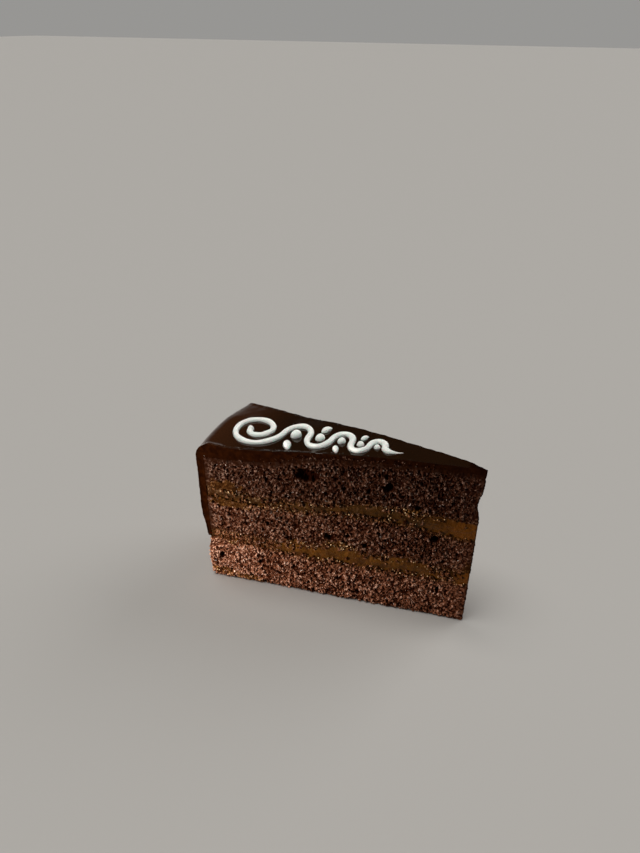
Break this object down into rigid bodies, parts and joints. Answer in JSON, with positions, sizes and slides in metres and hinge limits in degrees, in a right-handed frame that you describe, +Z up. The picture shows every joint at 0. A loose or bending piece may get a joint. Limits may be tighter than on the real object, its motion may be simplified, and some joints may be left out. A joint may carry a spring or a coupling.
{
  "type": "sachertorte cake slice",
  "caption": "Wedge of chocolate torte: sponge layers with apricot jam between, glossy chocolate glaze over top and rim, piped white icing scroll.",
  "frame": {"origin": "middle of the slice's bounding box, on its base", "axes": "+Z up, +X from the cake's rim to the slice's point, +Y towards the back cut; the front cut looks towards -Y"},
  "size_m": [0.1036, 0.0366, 0.0718],
  "materials": {
    "sponge": "moist chocolate crumb, open pores",
    "jam": "clear amber apricot jam, wet gloss",
    "chocolate": "poured dark chocolate, glossy",
    "icing": "piped white sugar icing, satin"
  },
  "bodies": {
    "root": {"sponge_bottom": "sponge", "jam_lower": "jam", "sponge_middle": "sponge", "jam_upper": "jam", "sponge_top": "sponge", "chocolate_glaze": "chocolate", "icing_stem": "icing", "icing_pearl_1": "icing", "icing_pearl_2": "icing", "icing_pearl_3": "icing", "icing_pearl_4": "icing", "icing_pearl_5": "icing", "icing_leaf_1": "icing", "icing_leaf_2": "icing", "icing_leaf_3": "icing", "icing_leaf_4": "icing"}
  },
  "joints": []
}
